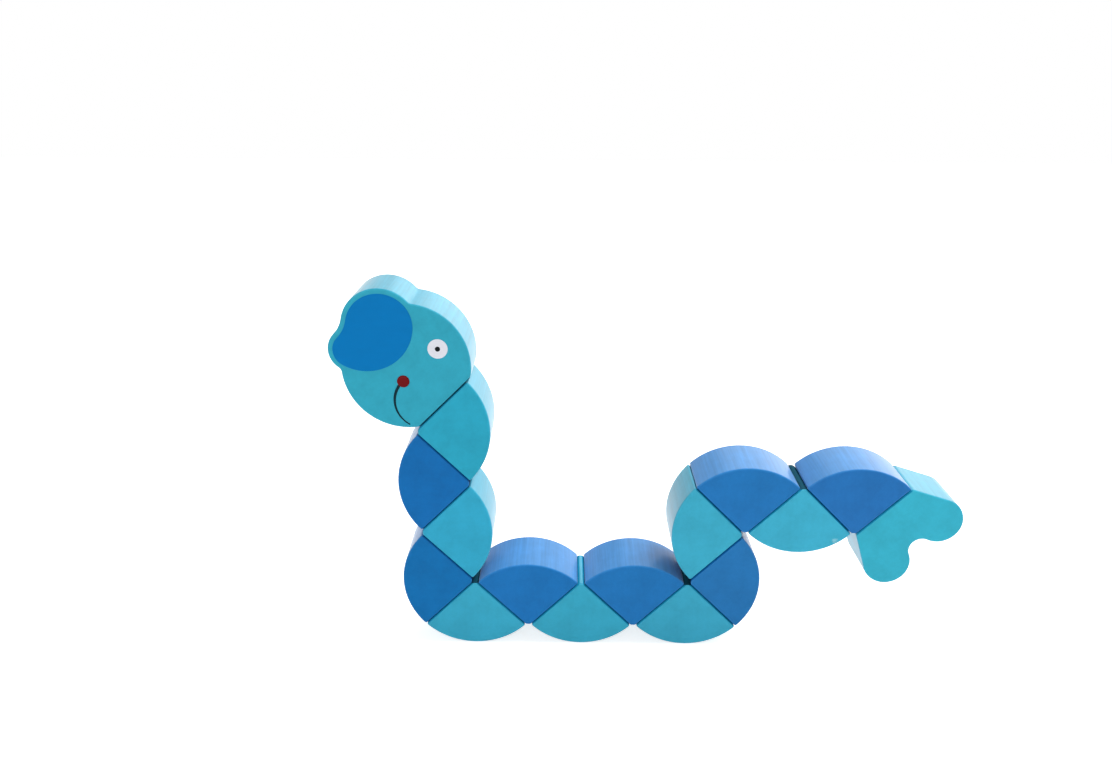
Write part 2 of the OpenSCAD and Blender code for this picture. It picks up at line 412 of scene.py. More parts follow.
def node(tree: NodeTree, kind: str, links: dict | None = None, **settings) -> Node:
    """Adds a node with its settings and links.

    Args:
        tree: The tree of a material or of the world.
        kind: Type of node, without the prefix of all shader nodes.
        links: Value, source socket or source node of each input, by name or number. A source
            node gives its first output.
        **settings: Properties of the node.

    Returns:
        The node.
    """
    made = tree.nodes.new(f"ShaderNode{kind}")
    for name, value in settings.items():
        setattr(made, name, value)
    for name, value in (links or {}).items():
        source = value.outputs[0] if isinstance(value, Node) else value
        if isinstance(source, NodeSocket):
            tree.links.new(source, made.inputs[name])
        else:
            made.inputs[name].default_value = source
    return made


def new_material(name: str) -> tuple[Material, NodeTree]:
    """Makes an empty node material.

    Args:
        name: Its name.

    Returns:
        The material and its tree.
    """
    material = bpy.data.materials.new(name)
    material.use_nodes = True
    material.node_tree.nodes.clear()
    return material, material.node_tree


def two_tones(hex_colour: str, shades: Flat) -> dict[int, Colour]:
    """Returns both colours of a colour mix: a darker and a brighter tone of one colour."""
    return {6: linear(hex_colour, shades[0]), 7: linear(hex_colour, shades[1])}


def seen(tree: NodeTree) -> Node:
    """Tells a look at a surface, straight, in a mirror or through glass, from the light on it.

    Args:
        tree: The tree of a material or of the world.

    Returns:
        A node that gives 1 for a look and 0 for light.
    """
    rays = node(tree, "LightPath").outputs
    shown = rays["Is Camera Ray"]
    for kind in ("Is Glossy Ray", "Is Transmission Ray"):
        shown = node(tree, "Math", {0: shown, 1: rays[kind]}, operation="MAXIMUM")
    return shown


def patterned(
    tree: NodeTree, pattern: Node, hex_colour: str, tones: Flat, relief: Flat | None, looks: dict,
) -> None:
    """Ends a tree in a surface whose tone and relief follow one pattern.

    Args:
        tree: The material's tree.
        pattern: The node that gives the pattern, from 0 to 1.
        hex_colour: The surface's colour.
        tones: Factors on that colour where the pattern is 0 and where it is 1.
        relief: The relief's strength and its depth in millimetres, if it has one.
        looks: The shader's other sockets.
    """
    mix = node(tree, "Mix", {"Factor": pattern, **two_tones(hex_colour, tones)}, data_type="RGBA")
    sockets = {"Base Color": mix.outputs[2], **looks}
    if relief:
        strength, depth = relief
        sockets["Normal"] = node(tree, "Bump", {
            "Height": pattern, "Strength": strength, "Distance": depth * MM})
    node(tree, "OutputMaterial", {"Surface": node(tree, "BsdfPrincipled", sockets)})


@dataclass(frozen=True)
class Grain:
    """A pattern in cells, whose size is given along X, Y and Z in millimetres."""

    size: Triple
    detail: float = 3.0
    roughness: float = 0.5

    def space(self, tree: NodeTree, turn: Triple = ZERO, centre: Triple | Vector = ZERO) -> Node:
        """Counts the spots on an object in cells.

        Args:
            tree: The material's tree.
            turn: Degrees by which the cells are turned about X, Y and Z.
            centre: Where the count starts, in metres.

        Returns:
            A node that gives the spot.
        """
        spot = node(tree, "TexCoord").outputs["Object"]
        turned = [math.radians(angle) for angle in turn]
        return node(tree, "Mapping", {
            "Vector": spot, "Location": centre, "Rotation": turned, "Scale": Vector(self.size) * MM,
        }, vector_type="TEXTURE")

    def noise(self, tree: NodeTree, turn: Triple = ZERO, centre: Triple | Vector = ZERO) -> Node:
        """Fills the cells with noise.

        Args:
            tree: The material's tree.
            turn: Degrees by which the cells are turned about X, Y and Z.
            centre: Where their count starts, in metres.

        Returns:
            A node that gives the noise, from 0 to 1.
        """
        return node(tree, "TexNoise", {
            "Vector": self.space(tree, turn, centre), "Scale": 1.0,
            "Detail": self.detail, "Roughness": self.roughness,
        })


@dataclass(frozen=True)
class Chip:
    """A splinter that broke off an edge and took most of the stain round it along."""

    place: Triple = (60.6, -10.2, 40.2)
    radius: float = 1.1
    squash: Triple = (1.0, 0.5, 0.6)
    hex_colour: str = "#a9dce4"
    fade: Flat = (0.3, 1.2)
    fray: float = 0.9
    strength: float = 0.75

    def nick(self) -> Object:
        """Makes the splinter's room.

        Returns:
            A ball, squashed along X, Y and Z.
        """
        deselect()
        place = Vector(self.place)
        bpy.ops.mesh.primitive_ico_sphere_add(
            subdivisions=3, radius=self.radius * MM, location=place * MM)
        splinter = bpy.context.object
        bpy.ops.object.transform_apply(location=True, rotation=True, scale=True)
        there, back = Matrix.Translation(place * MM), Matrix.Translation(-place * MM)
        splinter.data.transform(there @ Matrix.Diagonal((*self.squash, 1.0)) @ back)
        return splinter

    def pale(self, tree: NodeTree, colour: NodeSocket, pores: Node) -> NodeSocket:
        """Lays the pale spot over a colour.

        Args:
            tree: The material's tree.
            colour: The colour of the sound wood.
            pores: Noise by which the spot's rim frays out.

        Returns:
            The colour with the spot in it.
        """
        spot = node(tree, "TexCoord").outputs["Object"]
        away = node(tree, "VectorMath", {0: spot, 1: Vector(self.place) * MM}, operation="DISTANCE")
        frayed = node(tree, "Math", {
            0: pores, 1: self.fray * MM, 2: away.outputs["Value"],
        }, operation="MULTIPLY_ADD")
        share = node(tree, "MapRange", {
            "Value": frayed, "From Min": self.fade[0] * MM, "From Max": self.fade[1] * MM,
            "To Min": self.strength, "To Max": 0.0,
        })
        bare = linear(self.hex_colour)
        return node(tree, "Mix", {"Factor": share, 6: colour, 7: bare}, data_type="RGBA").outputs[2]


@dataclass(frozen=True)
class StainedBeech:
    """Slices of beech moulding, sanded, soaked with a water stain and sprayed with satin varnish.

    The fibres run through the slice. Its flat sides are end grain, which drinks the stain evenly
    and deeply: they show only a fine speckle of pores and faint growth rings. The backs are long
    grain, which takes less stain: they are paler, with streaks from side to side. The varnish
    film mirrors at a low angle, and the stain is rubbed a little thinner on the eased edges.
    """

    stain: Stain
    hex_colour: str
    chip: Chip | None = None
    # The pores of beech are 0.1 mm wide and too fine to show, so they are drawn eight times as
    # coarse. Its growth rings are 2 to 3 mm wide, and stain clouds over 5 to 10 mm.
    pores: Grain = Grain((0.8, 26.0, 0.8), roughness=0.65)
    rings: Grain = Grain((60.0, 90.0, 2.8), detail=2.0)
    clouds: Grain = Grain((7.0, 7.0, 7.0), roughness=0.6)
    pore_share: float = 1.3
    ring_share: float = 0.8
    cloud_share: float = 0.9
    worn_share: float = 0.9
    streaks_on_side: float = 0.3
    tones: Flat = (0.8, 1.2)
    cloud_span: float = 0.2
    satin: Flat = (0.34, 0.42)

    @property
    def back_colour(self) -> str:
        """Returns the colour of the long grain."""
        return {Stain.LIGHT: "#4aa8c2", Stain.MID: "#468ac8"}[self.stain]

    def material(self, name: str, centre: Vector, lie: float) -> Material:
        """Makes the material of one piece.

        Args:
            name: Name of the piece.
            centre: Middle of the piece in metres, which sets its own grain apart.
            lie: Direction of the growth rings in degrees, counted from X towards Z.

        Returns:
            The material.
        """
        material, tree = new_material(f"stained_beech_{name}")
        add = partial(node, tree)
        pores, rings, clouds = [
            add("Math", {0: grain.noise(tree, (0.0, -lie, 0.0), centre), 1: 0.5}, operation="SUBTRACT")
            for grain in (self.pores, self.rings, self.clouds)]
        # 0 on the backs, 1 on both flat sides, and what lies between on the eased edge
        spot = add("SeparateXYZ", {0: add("TexCoord").outputs["Object"]})
        depth = add("Math", {0: spot.outputs["Y"]}, operation="ABSOLUTE")
        flat = add("MapRange", {
            "Value": depth, "From Min": (BOARD / 2 - ROUNDING) * MM, "From Max": BOARD / 2 * MM,
        })
        round_share = add("Math", {0: 1.0, 1: flat}, operation="SUBTRACT")
        worn = add("Math", {0: flat, 1: round_share}, operation="MULTIPLY")
        streak_share = add("MapRange", {"Value": flat, "To Min": 1.0, "To Max": self.streaks_on_side})
        streaks, tone = 0.0, 0.5
        for part, share in ((rings, self.ring_share), (pores, self.pore_share)):
            streaks = add("Math", {0: part, 1: share, 2: streaks}, operation="MULTIPLY_ADD")
        clouded, rubbed = (clouds, self.cloud_share), (worn, self.worn_share)
        for part, share in ((streaks, streak_share), clouded, rubbed):
            tone = add("Math", {0: part, 1: share, 2: tone}, operation="MULTIPLY_ADD")
        back, side = [
            add("Mix", {"Factor": tone, **two_tones(colour, self.tones)}, data_type="RGBA").outputs[2]
            for colour in (self.back_colour, self.hex_colour)]
        colour = add("Mix", {"Factor": flat, 6: back, 7: side}, data_type="RGBA").outputs[2]
        if self.chip:
            colour = self.chip.pale(tree, colour, pores)
        roughness = add("MapRange", {
            "Value": clouds, "From Min": -self.cloud_span, "From Max": self.cloud_span,
            "To Min": self.satin[0], "To Max": self.satin[1],
        })
        bump = add("Bump", {"Height": pores, "Strength": 0.25, "Distance": 0.05 * MM})
        shader = add("BsdfPrincipled", {
            "Base Color": colour, "Roughness": roughness, "Normal": bump,
            "IOR": 1.5, "Specular IOR Level": 0.05,
            "Coat Weight": 1.0, "Coat IOR": 1.1, "Coat Roughness": 0.3,
            "Sheen Weight": 0.3, "Sheen Roughness": 0.3,
        })
        add("OutputMaterial", {"Surface": shader})
        return material


@dataclass(frozen=True)
class UnvarnishedBeech:
    """Stained beech inside the joints, where the spray doesn't reach: matt, and darkened as painted
    shade.
    """

    name: str
    hex_colour: str
    # Coarser than the real pores, as on the outside
    pores: Grain = Grain((0.9, 6.0, 0.9))
    tones: Flat = (0.7, 1.3)
    relief: Flat = (0.3, 0.05)

    @cache
    def material(self) -> Material:
        """Makes the material, once for all pieces of a stain.

        Returns:
            The material.
        """
        material, tree = new_material(f"unvarnished_beech_{self.name}")
        patterned(tree, self.pores.noise(tree), self.hex_colour, self.tones, self.relief, {
            "Roughness": 0.8, "IOR": 1.5, "Specular IOR Level": 0.05})
        return material


@dataclass(frozen=True)
class Enamel:
    """Thick water-based toy enamel, dabbed or brushed on and left to level.

    It covers the grain, has an even satin gloss and keeps a faint ripple of the brush.
    """

    name: str
    hex_colour: str
    # A small brush leaves ripples of about 0.5 mm, too fine to show, so they are drawn coarser
    ripples: Grain = Grain((5.4, 1.8, 1.8), detail=2.0)
    tones: Flat = (0.95, 1.05)
    relief: Flat = (0.15, 0.04)

    def material(self) -> Material:
        """Makes the paint's material.

        Returns:
            The material.
        """
        material, tree = new_material(f"toy_enamel_{self.name}")
        patterned(tree, self.ripples.noise(tree), self.hex_colour, self.tones, self.relief, {
            "Roughness": 0.38, "IOR": 1.5, "Specular IOR Level": 0.06})
        return material


@dataclass(frozen=True)
class BraidedElastic:
    """Elastic cord: a rubber core in a braided cotton cover.

    The braid shows as small raised lozenges, with painted shade in the gaps between them.
    """

    hex_colour: str = "#e9e6dd"
    # A strand of the braid is about 0.8 mm wide, and at this scale a wave fills one cell
    strand: Grain = Grain((0.8, 0.8, 0.8))
    waves: float = 0.31
    leans: Flat = (45.0, -45.0)
    # The gaps of the weave take the darker tone, as painted shade
    tones: Flat = (0.6, 1.0)
    relief: Flat = (0.6, 0.15)

    def material(self) -> Material:
        """Makes the cord's material.

        Returns:
            The material.
        """
        material, tree = new_material("braided_elastic")
        strands = [node(tree, "TexWave", {
            "Vector": self.strand.space(tree, (lean, lean, 0.0)), "Scale": self.waves,
        }).outputs["Fac"] for lean in self.leans]
        weave = node(tree, "Math", dict(enumerate(strands)), operation="MULTIPLY")
        patterned(tree, weave, self.hex_colour, self.tones, self.relief, {"Roughness": 0.85})
        return material


@dataclass(frozen=True)
class TurnedBeech:
    """Beech turned on the lathe and left bare: pale, matt, with short brown flecks."""

    hex_colour: str = "#d9b98c"
    # The rays of beech show as flecks about 0.5 mm wide and 3 mm long
    flecks: Grain = Grain((0.5, 0.5, 3.0))
    turn: Triple = (0.0, 45.0, 0.0)
    tones: Flat = (0.7, 1.15)

    def material(self) -> Material:
        """Makes the collars' material.

        Returns:
            The material.
        """
        material, tree = new_material("turned_beech")
        flecks = self.flecks.noise(tree, self.turn)
        patterned(tree, flecks, self.hex_colour, self.tones, None, {"Roughness": 0.7})
        return material


# Colours of the faces inside the joints: the bare ones are darkened as painted shade in the joint
# lines, and the painted-shade ones darker still, at the tips and the neck
INSIDE = {
    (Stain.LIGHT, Coat.BARE): UnvarnishedBeech("light", "#1d8db3"),
    (Stain.LIGHT, Coat.PAINTED_SHADE): UnvarnishedBeech("light_painted_shade", "#134a5c"),
    (Stain.MID, Coat.BARE): UnvarnishedBeech("mid", "#1263a4"),
    (Stain.MID, Coat.PAINTED_SHADE): UnvarnishedBeech("mid_painted_shade", "#0e3a66"),
}


def coat_side(piece: Object, way: Triple | Vector, coat: Coat, within: float = 50.0) -> None:
    """Gives a side of a piece its coat.

    Args:
        piece: The piece.
        way: Direction in which the side looks, of any length.
        coat: What the side carries.
        within: How far a face may turn away from that direction, in degrees.
    """
    way = Vector(way).normalized()
    for face in piece.data.polygons:
        if facing(face, way, within):
            face.material_index = coat.value


def hand_over(piece: Object, name: str, body: str, materials: list[Material]) -> None:
    """Gives a finished piece its materials and lets it stand for its CAD node.

    Args:
        piece: The finished piece.
        name: Its CAD node.
        body: The CAD body that it rides on.
        materials: Its materials, in the order of Coat where it is of wood.
    """
    places = piece.data.materials
    while len(places) < len(materials):
        places.append(None)
    for number, material in enumerate(materials):
        places[number] = material
    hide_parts(name)
    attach(piece, body)
    LOG.info("%s: %d faces", name, len(piece.data.polygons))


def dress(piece: Object, name: str, finish: StainedBeech, lie: float) -> None:
    """Stains a wooden piece and hands it over.

    Args:
        piece: The finished piece.
        name: Its CAD node, which is also its body.
        finish: Its stain.
        lie: Direction of its growth rings in degrees, counted from X towards Z.
    """
    low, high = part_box(name)
    own = finish.material(name, (low + high) / 2, lie)
    inner = [INSIDE[finish.stain, coat].material() for coat in (Coat.BARE, Coat.PAINTED_SHADE)]
    hand_over(piece, name, name, [own, *inner])


@dataclass(frozen=True)
class Place:
    """Where a block's point lies, the way of its middle line and the side of its tailward face."""

    x: float
    z: float
    way: float
    side: int

    def matrix(self) -> Matrix:
        """Returns the move of a block from the corner of X and Z, in metres."""
        return Matrix.Translation((self.x * MM, 0, self.z * MM)) @ Matrix.Rotation(
            math.radians(QUARTER / 2 - self.way), 4, "Y")


@dataclass
class Chain:
    """How the worm is strung: the places of its blocks and of the joints at both ends."""

    block_r: float = 24.0
    tip_cut: float = 1.2
    seat_play: float = 0.02
    rim_relief: float = 0.14
    rim_width: float = 2.2
    blocks: int = 14
    bends: tuple[int, ...] = (0, 4, 9, 11)
    places: dict[int, Place] = field(default_factory=dict)

    def __post_init__(self) -> None:
        """Strings the blocks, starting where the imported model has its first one."""
        low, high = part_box("light_block_1")
        here = Place(high.x / MM - self.block_r, (low.z + high.z) / 2 / MM, 0.0, -1)
        self.places[1] = here
        for joint in range(1, self.blocks):
            self.places[joint + 1] = here = self.following(here, joint in self.bends)

    def following(self, place: Place, bent: bool) -> Place:
        """Finds the next block's place.

        Args:
            place: Place of the block before it.
            bent: Whether the joint between them is turned half round.

        Returns:
            The place of the next block.
        """
        tailward = place.way + QUARTER / 2 * place.side
        out = tailward + QUARTER * place.side
        spot = plus((place.x, place.z), along(tailward), 0.0 if bent else self.block_r + self.tip_cut)
        spot = plus(spot, along(out), self.seat_play)
        if bent:
            return Place(*spot, place.way + QUARTER * place.side, place.side)
        return Place(*spot, place.way + 2 * QUARTER, -place.side)

    def seat(self, piece: Object, way: Vector) -> None:
        """Lifts the middle of a flat joint face, because its rim is rubbed back by sanding."""
        raised(piece, way, self.rim_width, self.rim_relief)

    def end_joint(self, place: Place, side: int) -> Joint:
        """Finds the middle of a block's outer flat face.

        Args:
            place: Place of the block.
            side: The block's side for its tailward face, or its opposite.

        Returns:
            The middle of the face and the way out of it.
        """
        face = place.way + QUARTER / 2 * side
        out = face + QUARTER * side
        spot = plus((place.x, place.z), along(face), (self.block_r + self.tip_cut) / 2)
        return plus(spot, along(out), self.seat_play), out

    @staticmethod
    def beyond(joint: Joint) -> Matrix:
        """Finds the move of a piece that is drawn with the joint's face on X and the cord on Z.

        Args:
            joint: The middle of the face and the way that the piece points.

        Returns:
            The move, in metres.
        """
        (x, z), way = joint
        return Matrix.Translation((x * MM, 0, z * MM)) @ Matrix.Rotation(
            math.radians(QUARTER - way), 4, "Y")


@dataclass
class Blocks:
    """The fourteen quarter-round blocks, all sawn and bored alike.

    A span is how far a face may turn away from the middle of a varnished heel or of a tip and
    still count to it, in degrees. The growth rings lie along a block's middle line, give or take
    the sway, and the beat sets how it differs from block to block.
    """

    chain: Chain
    bore_d: float = 4.5
    # Stain colour of each block in its order along the worm; both rows grow a little lighter towards
    # the last block
    light: tuple[str, ...] = (
        "#2aa0bc", "#32a4c5", "#39a5c2", "#38a4c0", "#3ca4c1", "#3ca8c4", "#3eabc8")
    mid: tuple[str, ...] = (
        "#1068ac", "#0e6cac", "#1b70b4", "#2072b4", "#2572b0", "#2172b4", "#246eb2")
    heel_span: float = 38.0
    dark_tip_span: float = 35.0
    bright_tip_span: float = 10.0
    bright_tips: tuple[str, ...] = ("light_block_4", "light_block_6")
    chipped: str = "light_block_7"
    chip: Chip = Chip()
    ring_sway: float = 7.0
    ring_beat: float = 2.4

    def pattern(self) -> Object:
        """Makes the block that the others are copied from.

        Returns:
            The block, in the corner of X and Z.
        """
        r, cut, low = self.chain.block_r, self.chain.tip_cut, self.chain.rim_relief
        reach = math.sqrt(r * r - low * low)
        mark = Marking("block_pattern", (cut, low), -BOARD / 2)
        mark.line((reach, low)).arc((0, 0), (low, reach)).line((low, cut))
        block = mark.sawn(BOARD)
        self.chain.seat(block, DOWN)
        self.chain.seat(block, LEFT)
        ease(block, ROUNDING)
        mid = (r + cut) / 2
        corner = Vector((mid, 0, mid))
        mouths = (Vector((mid, 0, 0)), Vector((0, 0, mid)))
        bore(block, [drill(mouth, corner, self.bore_d) for mouth in mouths])
        for way in (DOWN, LEFT):
            coat_side(block, way, Coat.BARE)
        # The heels are the ends of the joint faces at the round back
        for heel in (DOWN - LEFT, LEFT - DOWN):
            coat_side(block, heel, Coat.VARNISHED, self.heel_span)
        return block

    def build(self) -> None:
        """Copies the pattern to every place in the chain and dresses the copies."""
        pattern = self.pattern()
        for number, place in self.chain.places.items():
            order = (number + 1) // 2
            stain, colours = (Stain.LIGHT, self.light) if number % 2 else (Stain.MID, self.mid)
            name = f"{stain.name.lower()}_block_{order}"
            block = pattern.copy()
            block.data = pattern.data.copy()
            block.name = block.data.name = f"{name}_wood"
            bpy.context.scene.collection.objects.link(block)
            # The tips sit deep between two blocks and are darkened as painted shade, except the bright
            # ones, which keep their varnish
            if name in self.bright_tips:
                coat_side(block, DOWN + LEFT, Coat.VARNISHED, self.bright_tip_span)
            else:
                coat_side(block, DOWN + LEFT, Coat.PAINTED_SHADE, self.dark_tip_span)
            block.data.transform(place.matrix())
            chip = self.chip if name == self.chipped else None
            if chip:
                bore(block, [chip.nick()])
            shade(block)
            finish = StainedBeech(stain, colours[order - 1], chip)
            dress(block, name, finish, place.way + self.ring_sway * math.sin(self.ring_beat * number))
        bpy.data.objects.remove(pattern)


@dataclass
class EndPiece:
    """A piece at one end of the worm, drawn with its joint face on X and the cord on Z.

    Attributes:
        chain: The chain that it ends.
        bore_d: Diameter of the blind bore for the knot and its collar.
        bore_depth: Depth of that bore.
        joint_coat: What the joint face carries.
        heel_slope: How far the varnished ends of that face look sideways for each step down.
        heel_span: How far a face of those ends may turn away from there, in degrees.
    """

    chain: Chain
    bore_d: float = 7.5
    bore_depth: float = 11.0
    joint_coat: Coat = Coat.BARE
    heel_slope: float = 1.0
    heel_span: float = 38.0

    def made(self, mark: Marking) -> Object:
        """Saws an end piece and finishes it.

        Args:
            mark: Its outline.

        Returns:
            The piece, still where it was drawn.
        """
        piece = mark.sawn(BOARD)
        self.chain.seat(piece, DOWN)
        ease(piece, ROUNDING)
        bore(piece, [drill(Vector((0, 0, 0)), UP * self.bore_depth, self.bore_d)])
        coat_side(piece, DOWN, self.joint_coat)
        for side in (-1, 1):
            coat_side(piece, (side * self.heel_slope, 0, -1), Coat.VARNISHED, self.heel_span)
        shade(piece)
        return piece


@dataclass
class Head(EndPiece):
    """The head: a round face with the bulge of a peaked cap, sawn from one board."""

    face_r: float = 20.2
    face: Flat = (1.5, 16.6)
    cap_r: float = 11.9
    crown: Flat = (5.2, 31.1)
    peak_r: float = 7.1
    peak: Flat = (-6.6, 32.3)
    hollow_r: float = 9.0
    crease_r: float = 2.0
    hex_colour: str = "#31a0b8"
    # The neck's joint face is darkened as painted shade, which deepens the line between the head and
    # the first block
    joint_coat: Coat = Coat.PAINTED_SHADE
    heel_slope: float = 0.7
    heel_span: float = 28.0

    def joint(self) -> Joint:
        """Returns the middle of the neck's joint and the way out of it."""
        first = self.chain.places[1]
        return self.chain.end_joint(first, -first.side)

    def place(self) -> Matrix:
        """Returns the move of what is drawn with the neck's joint on X."""
        return self.chain.beyond(self.joint())

    def build(self) -> None:
        """Saws, bores and dresses the head."""
        low = self.chain.rim_relief
        half = math.sqrt(self.face_r**2 - (self.face[1] - low) ** 2)
        chin, nape = (self.face[0] - half, low), (self.face[0] + half, low)
        nape_crease = hollow_centre(self.crown, self.cap_r, self.face, self.face_r, self.crease_r)
        hollow = hollow_centre(self.peak, self.peak_r, self.crown, self.cap_r, self.hollow_r)
        brow_crease = hollow_centre(self.face, self.face_r, self.peak, self.peak_r, self.crease_r)
        mark = Marking("head_wood", chin, -BOARD / 2)
        mark.line(nape)
        mark.arc(self.face, touch(self.face, self.face_r, nape_crease))
        mark.arc(nape_crease, touch(self.crown, self.cap_r, nape_crease), Side.OVER_RIGHT, finest=10)
        mark.arc(self.crown, touch(self.crown, self.cap_r, hollow))
        mark.arc(hollow, touch(self.peak, self.peak_r, hollow), Side.OVER_RIGHT, finest=5)
        mark.arc(self.peak, touch(self.peak, self.peak_r, brow_crease), finest=4)
        mark.arc(brow_crease, touch(self.face, self.face_r, brow_crease), Side.OVER_RIGHT, finest=10)
        mark.arc(self.face, chin)
        head = self.made(mark)
        head.data.transform(self.place())
        rings = self.joint()[1] + QUARTER
        dress(head, "head", StainedBeech(Stain.LIGHT, self.hex_colour), rings)


@dataclass
class Tail(EndPiece):
    """The tail: a flat foot, two straight sides and two rounded ends with a fork between."""

    foot: float = 11.7
    lobe_r: float = 7.7
    lobe: Flat = (10.9, 15.2)
    fork_r: float = 4.0
    hex_colour: str = "#37adc5"
    ring_sway: float = 4.0

    def build(self) -> None:
        """Saws, bores and dresses the tail."""
        corner = (self.foot, 0)
        reach = math.dist(self.lobe, corner)
        lean = angle_of(corner, self.lobe) - math.degrees(math.asin(self.lobe_r / reach))
        flank = plus(corner, along(lean), math.sqrt(reach**2 - self.lobe_r**2))
        far = (-self.lobe[0], self.lobe[1])
        fork = hollow_centre(far, self.lobe_r, self.lobe, self.lobe_r, self.fork_r)
        low = self.chain.rim_relief
        mark = Marking("tail_wood", (-self.foot, low), -BOARD / 2)
        mark.line((self.foot, low)).line(flank)
        mark.arc(self.lobe, touch(self.lobe, self.lobe_r, fork), finest=4)
        mark.arc(fork, touch(far, self.lobe_r, fork), Side.OVER_RIGHT, finest=6)
        mark.arc(far, (-flank[0], flank[1]), finest=4)
        tail = self.made(mark)
        last = self.chain.places[self.chain.blocks]
        joint = self.chain.end_joint(last, last.side)
        tail.data.transform(self.chain.beyond(joint))
        dress(tail, "tail", StainedBeech(Stain.LIGHT, self.hex_colour), joint[1] + self.ring_sway)


@dataclass
class Face:
    """The cap and the face, brushed and dabbed on both sides of the head in thick enamel.

    A film or drop is sunk a little into the wood. A drop's wall is the share of its height that
    rises straight, and each of its steps goes inward by a share of the radius and rises by one
    of the height.
    """

    head: Head
    film: float = 0.14
    sunk: float = 0.05
    rim: float = 0.1
    margin: float = 1.6
    brow_r: float = 14.8
    eye: Flat = (12.8, 13.7)
    eye_d: float = 6.2
    eye_h: float = 0.2
    pupil_d: float = 1.6
    pupil_h: float = 0.2
    pupil_base: float = 0.16
    nose: Flat = (-2.5, 14.0)
    nose_d: float = 3.9
    nose_h: float = 0.4
    mouth: Flat = (-2.9, 5.1)
    mouth_r: float = 9.0
    mouth_ends: Flat = (87.4, 195.0)
    line_widths: Flat = (1.0, 0.4)
    drop_sides: int = 64
    drop_wall: float = 0.3
    drop_steps: tuple[Flat, ...] = ((0.05, 0.28), (0.1, 0.2), (0.22, 0.15), (0.3, 0.07))

    def cap(self) -> Object:
        """Paints the cap, which keeps a margin from the edge of the wood.

        Returns:
            The film of paint on the front of the head.
        """
        crown, peak = self.head.crown, self.head.peak
        crown_r, peak_r = self.head.cap_r - self.margin, self.head.peak_r - self.margin
        above = hollow_centre(peak, peak_r, crown, crown_r, self.head.hollow_r + self.margin)
        brow = hollow_centre(peak, peak_r, crown, crown_r, -self.brow_r)
        start = plus(peak, along(angle_of(brow, peak)), peak_r)
        mark = Marking("cap_film", start, -BOARD / 2 - self.film)
        mark.arc(brow, plus(crown, along(angle_of(brow, crown)), crown_r))
        mark.arc(crown, touch(crown, crown_r, above))
        mark.arc(above, touch(peak, peak_r, above), Side.OVER_RIGHT)
        mark.arc(peak, start)
        return mark.sawn(self.film + self.sunk)

    def stroke(self) -> Object:
        """Draws the mouth in one stroke of the brush, which thins towards the chin.

        Returns:
            The stroke on the front of the head.
        """
        def ends(side: int) -> list[Flat]:
            """Returns both ends of the stroke's outer or inner edge."""
            return [plus(self.mouth, along(angle), self.mouth_r + side * width / 2)
                    for angle, width in zip(self.mouth_ends, self.line_widths)]

        lean = sum(self.line_widths) / 4
        outer, inner = ends(1), ends(-1)
        mark = Marking("mouth_stroke", outer[0], -BOARD / 2 - self.film)
        mark.arc(hollow_centre(outer[0], 0, outer[1], 0, self.mouth_r + lean), outer[1])
        mark.line(inner[1])
        inside = hollow_centre(inner[0], 0, inner[1], 0, self.mouth_r - lean)
        mark.arc(inside, inner[0], Side.OVER_RIGHT)
        return mark.sawn(self.film + self.sunk)

    def drop(self, name: str, spot: Flat, diameter: float, height: float, base: float = 0.0) -> Object:
        """Lets a round drop of paint level.

        Args:
            name: Name of the drop.
            spot: Its middle, in X and Z.
            diameter: Its diameter.
            height: Its own height.
            base: Height above the wood of what it is dabbed on.

        Returns:
            A low dome on the front of the head.
        """
        deselect()
        y = -BOARD / 2 - base + self.sunk
        bpy.ops.mesh.primitive_circle_add(
            vertices=self.drop_sides, radius=diameter / 2 * MM, fill_type="NGON",
            rotation=(math.radians(90), 0, 0), location=(spot[0] * MM, y * MM, spot[1] * MM))
        made = bpy.context.object
        made.name = made.data.name = name
        bpy.ops.object.transform_apply(location=True, rotation=True, scale=True)
        wall = (0, -(self.sunk + self.drop_wall * height) * MM, 0)
        with editing(made):
            bpy.ops.mesh.extrude_region_move(TRANSFORM_OT_translate={"value": wall})
            for inward, rise in self.drop_steps:
                bpy.ops.mesh.inset(thickness=inward * diameter / 2 * MM, depth=rise * height * MM)
        return made

    def finish(self, film: Object, cad_node: str, slot: str, enamel: Enamel) -> None:
        """Repeats a film on the other side of the head, places it and paints it.

        Args:
            film: The film on the front.
            cad_node: CAD node that it stands for.
            slot: The record's material slot, not used.
            enamel: Its paint.
        """
        mirror = film.modifiers.new("other side", "MIRROR")
        mirror.use_axis = (False, True, False)
        mirror.use_mirror_merge = False
        apply_modifiers(film)
        with editing(film):
            bpy.ops.mesh.normals_make_consistent(inside=False)
        shade(film)
        film.data.transform(self.head.place())
        hand_over(film, cad_node, "head", [enamel.material()])

    def build(self) -> None:
        """Paints the whole face."""
        cap, stroke = self.cap(), self.stroke()
        for film in (cap, stroke):
            ease(film, self.rim, segments=2)
        eye = self.drop("eye_white", self.eye, self.eye_d, self.eye_h)
        pupil = self.drop("pupil_dot", self.eye, self.pupil_d, self.pupil_h, self.pupil_base)
        nose = self.drop("nose_dab", self.nose, self.nose_d, self.nose_h)
        self.finish(cap, "cap_paint", "cap_paint", Enamel("cap_blue", "#0073b5"))
        self.finish(stroke, "mouth_paint", "black_paint", Enamel("line_black", "#0a2a33"))
        self.finish(eye, "eye_paint", "white_paint", Enamel("white", "#dcdde6"))
        self.finish(pupil, "pupil_paint", "black_paint", Enamel("black", "#101418"))
        self.finish(nose, "nose_paint", "red_paint", Enamel("red", "#6d0f14"))


@dataclass
class Stringing:
    """The elastic cord and the glued collars, which lie inside and keep their CAD shapes."""

    cord: BraidedElastic = BraidedElastic()
    collar: TurnedBeech = TurnedBeech()

    def build(self) -> None:
        """Gives every inner part its material."""
        made = {"cord": self.cord.material(), "collar": self.collar.material()}
        for name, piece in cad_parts.items():
            for word, material in made.items():
                if word in name:
                    piece.data.materials.clear()
                    piece.data.materials.append(material)
                    LOG.info("%s: %s", name, material.name)


